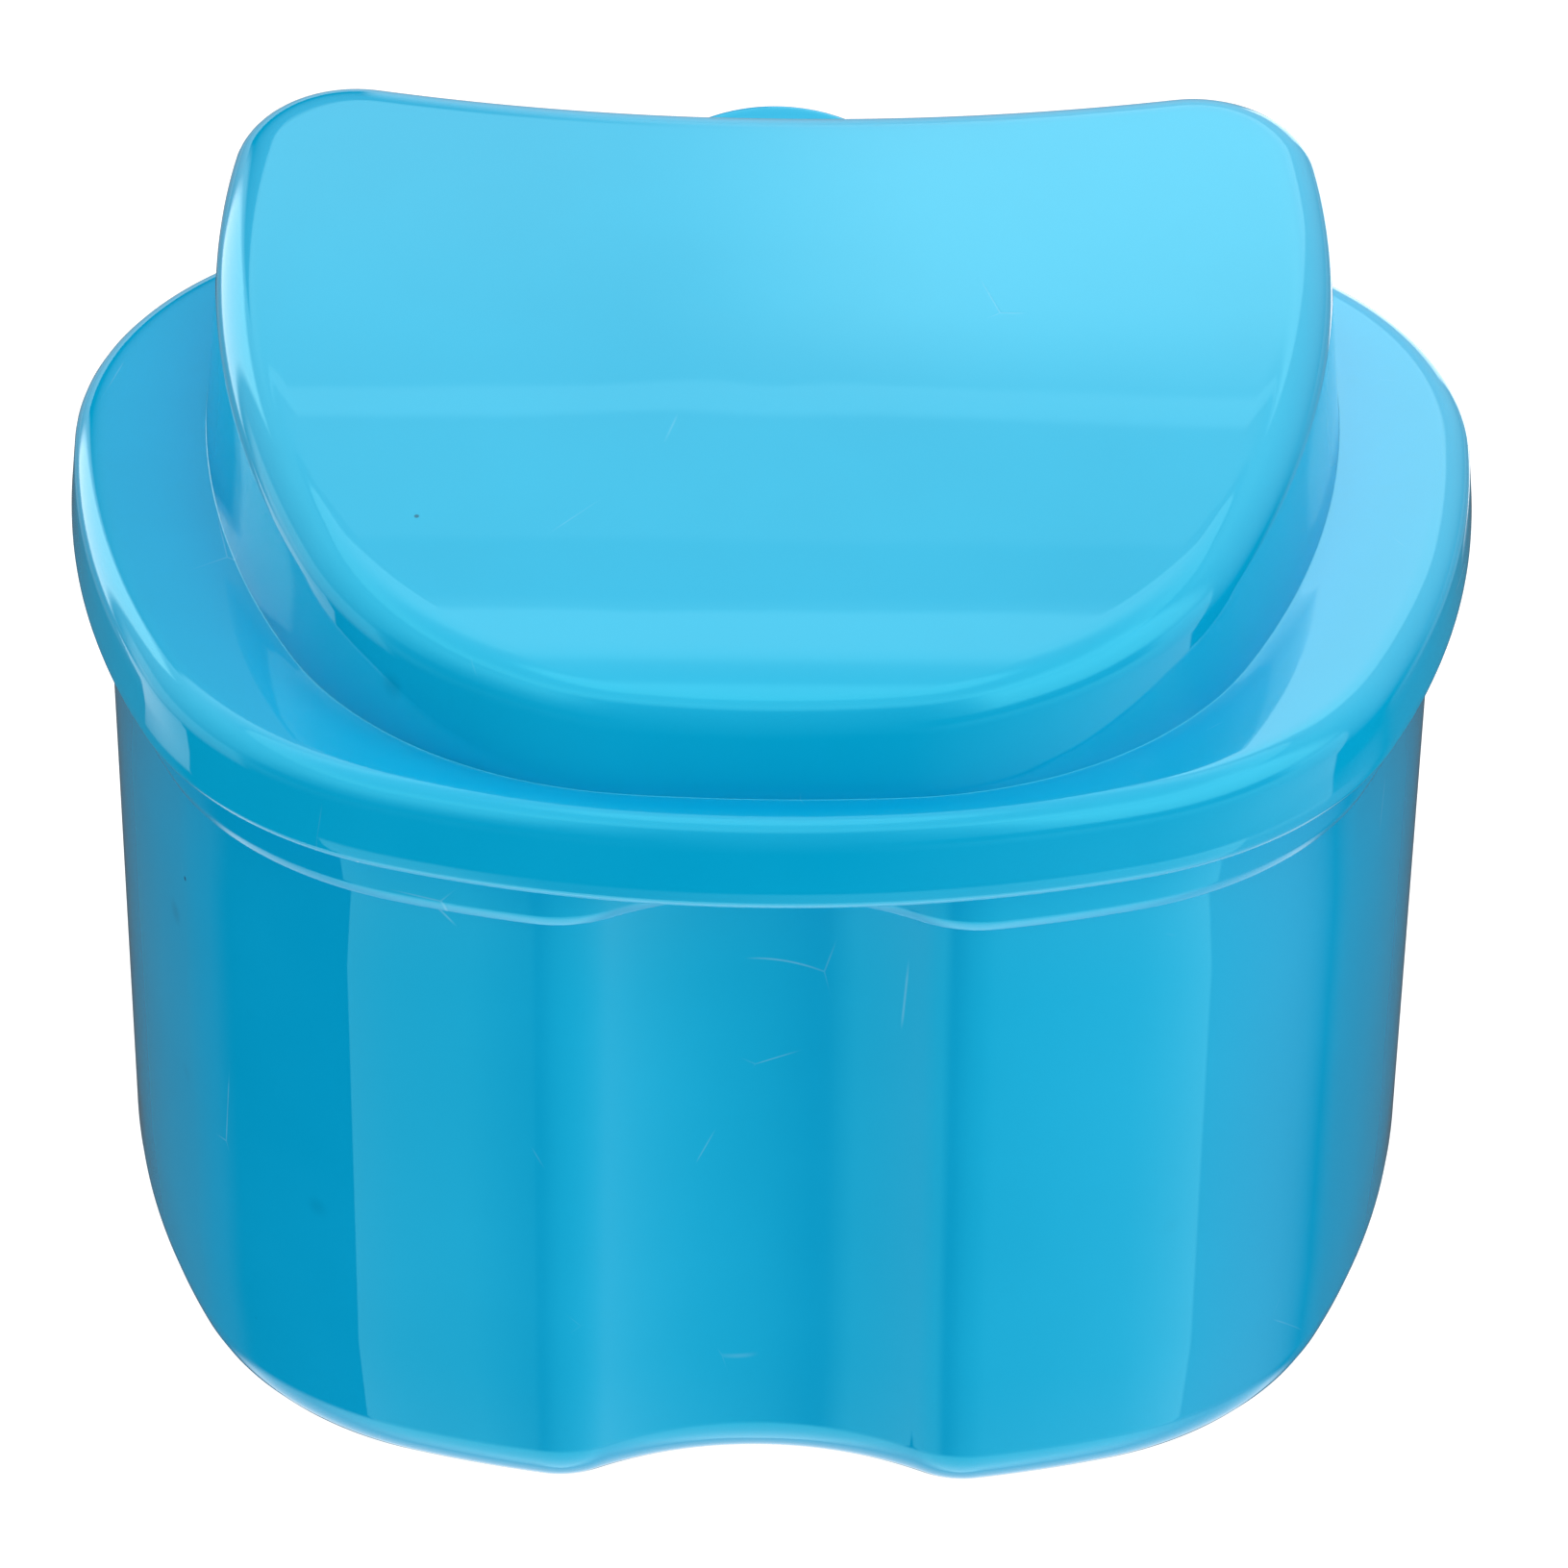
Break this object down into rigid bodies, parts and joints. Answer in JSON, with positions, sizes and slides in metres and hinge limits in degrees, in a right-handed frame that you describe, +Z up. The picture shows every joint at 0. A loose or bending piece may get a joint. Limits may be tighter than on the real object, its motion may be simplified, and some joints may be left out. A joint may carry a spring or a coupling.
{
  "type": "denture_case",
  "caption": "Domed denture bath case: kidney-plan cup with a front thumb notch, hanging strainer basket with a pinch handle, and a lift-off lid with a rear tab.",
  "frame": {"origin": "On the surface the case stands on, under the middle of the whole case from side to side and from the lid's front lip to the tip of its rear tab.", "axes": "+X runs across the case, which is the same on both sides of it. -Y points to the front with the thumb notch, +Y to the lid's tab. +Z is up and is the way the lid and the basket lift."},
  "size_m": [0.0896, 0.0804, 0.0697],
  "materials": {
    "cup_shell": "glossy",
    "basket_shell": "glossy",
    "lid_shell": "glossy"
  },
  "bodies": {
    "cup_body": {"cup": "cup_shell"},
    "basket_body": {"basket": "basket_shell"},
    "lid_body": {"lid": "lid_shell"}
  },
  "joints": [
    {"name": "basket_lift", "type": "slide", "parent": "cup_body", "child": "basket_body", "axis": [0, 0, 1], "range_m": [0, 0.06]},
    {"name": "lid_lift", "type": "slide", "parent": "basket_body", "child": "lid_body", "axis": [0, 0, 1], "range_m": [0, 0.08]}
  ]
}
